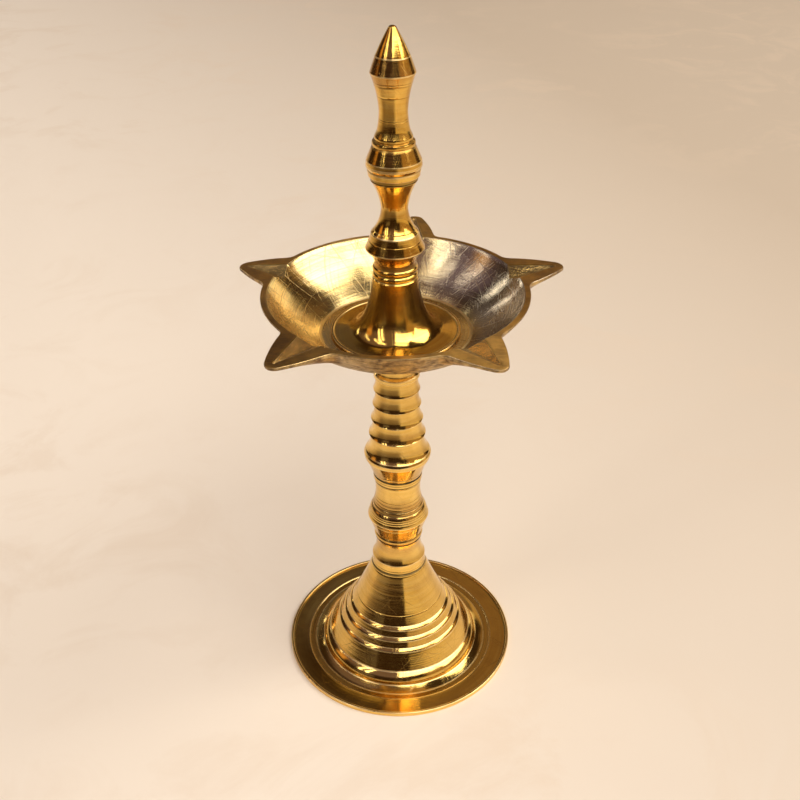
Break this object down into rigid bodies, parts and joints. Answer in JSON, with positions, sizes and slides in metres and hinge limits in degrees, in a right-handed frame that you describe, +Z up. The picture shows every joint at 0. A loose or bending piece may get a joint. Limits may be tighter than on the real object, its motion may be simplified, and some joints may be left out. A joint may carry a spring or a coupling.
{
  "type": "pedestal oil lamp",
  "caption": "Standing brass oil lamp with a round hollow foot, a turned and ribbed stem, an open bowl with pointed wick spouts and a tall finial that screws down through the bowl.",
  "frame": {"origin": "on the lamp's axis, in the plane that the foot stands on", "axes": "+Z up along the axis, towards the finial's point; the five hand-finished spouts point to 18, 83, 158, 231 and 302 degrees from +X towards +Y; the picture looks along +Y"},
  "size_m": [0.1404, 0.1412, 0.3033],
  "materials": {
    "cast_brass": "lathe-turned and polished cast brass, lacquered, with a darkened flat rim",
    "turned_brass": "turned and buffed brass with fine lathe lines, dark in its grooves",
    "bowl_brass": "turned brass scratched by wiping, rough-cast in the wick grooves",
    "seal_rubber": "flat cut sheet"
  },
  "bodies": {
    "foot": {"base_foot": "cast_brass"},
    "lower_stem": {"lower_stem": "turned_brass"},
    "knop_stem": {"knop_stem": "turned_brass"},
    "ribbed_stem": {"ribbed_stem": "turned_brass", "seat_washer": "seal_rubber"},
    "oil_bowl": {"oil_bowl": "bowl_brass"},
    "bell_washer": {"bell_washer": "seal_rubber"},
    "finial_bell": {"finial_bell": "turned_brass"},
    "finial_spire": {"finial_spire": "turned_brass"}
  },
  "joints": [
    {"name": "foot_screw", "type": "hinge", "parent": "foot", "child": "lower_stem", "pos_m": [0, 0, 0.0503], "axis": [0, 0, 1], "range_deg": [0, 1800]},
    {"name": "waist_screw", "type": "hinge", "parent": "lower_stem", "child": "knop_stem", "pos_m": [0, 0, 0.0669], "axis": [0, 0, 1], "range_deg": [0, 1440]},
    {"name": "knop_screw", "type": "hinge", "parent": "knop_stem", "child": "ribbed_stem", "pos_m": [0, 0, 0.1035], "axis": [0, 0, 1], "range_deg": [0, 1440]},
    {"name": "bowl_turn", "type": "hinge", "parent": "ribbed_stem", "child": "oil_bowl", "pos_m": [0, 0, 0.174], "axis": [0, 0, 1], "continuous": true},
    {"name": "finial_turn", "type": "hinge", "parent": "ribbed_stem", "child": "bell_washer", "pos_m": [0, 0, 0.1775], "axis": [0, 0, 1], "range_deg": [0, 1080]},
    {"name": "finial_lift", "type": "slide", "parent": "bell_washer", "child": "finial_bell", "axis": [0, 0, 1], "range_m": [0, 0.0075]},
    {"name": "spire_screw", "type": "hinge", "parent": "finial_bell", "child": "finial_spire", "pos_m": [0, 0, 0.2453], "axis": [0, 0, 1], "range_deg": [0, 1440]}
  ],
  "couplings": [
    {"joint": "finial_turn", "follows": "finial_lift", "rad_per_m": 2513.3}
  ]
}
